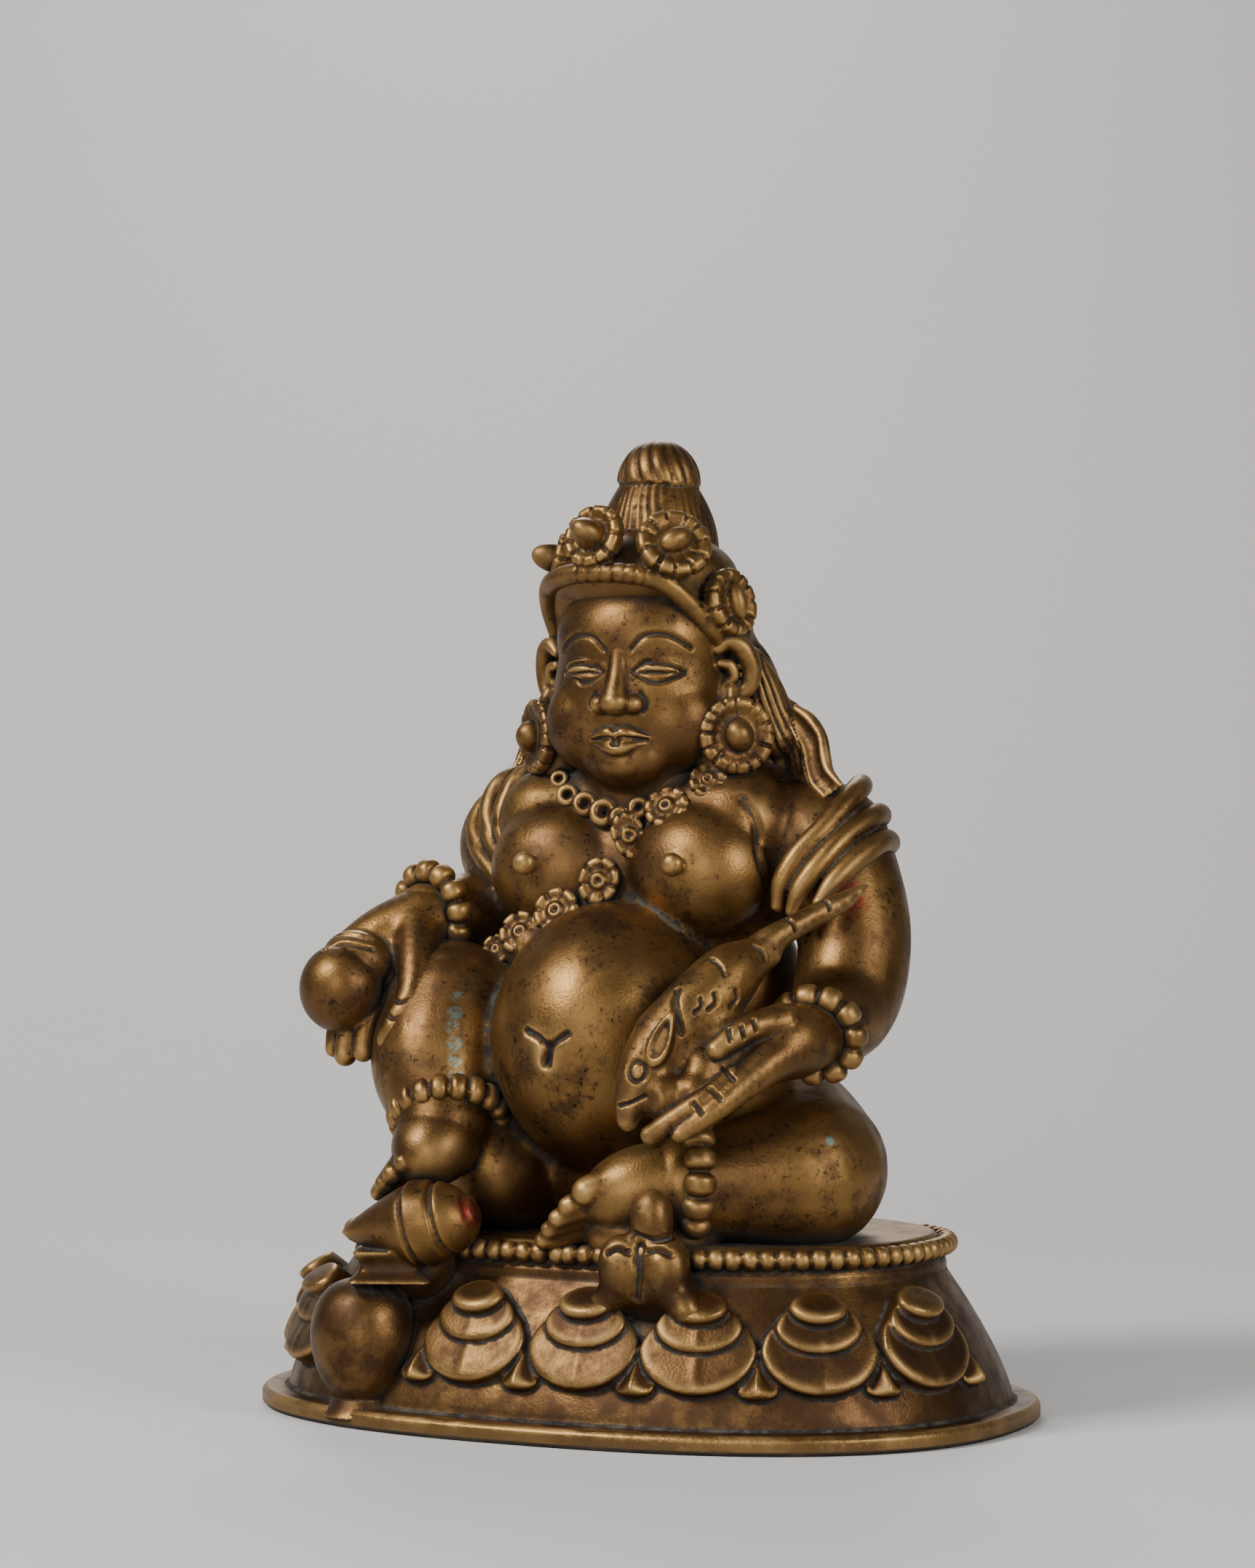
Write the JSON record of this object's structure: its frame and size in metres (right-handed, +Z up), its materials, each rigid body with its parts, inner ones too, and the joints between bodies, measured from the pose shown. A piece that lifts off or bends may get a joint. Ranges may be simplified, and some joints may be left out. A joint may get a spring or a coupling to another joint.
{
  "type": "jambhala statue",
  "caption": "Small cast brass figure of the wealth deity seated at ease on an oval lotus base, holding a fruit and a mongoose.",
  "frame": {"origin": "middle of the base's footprint, on the plane the statue stands on", "axes": "+Z up, the figure faces -Y, and its own left hand is towards +X"},
  "size_m": [0.099, 0.071, 0.1214],
  "materials": {
    "brass": "aged golden-brown patina, bright on the worn high places and dark in the hollows"
  },
  "bodies": {
    "root": {"statue": "brass"}
  },
  "joints": []
}
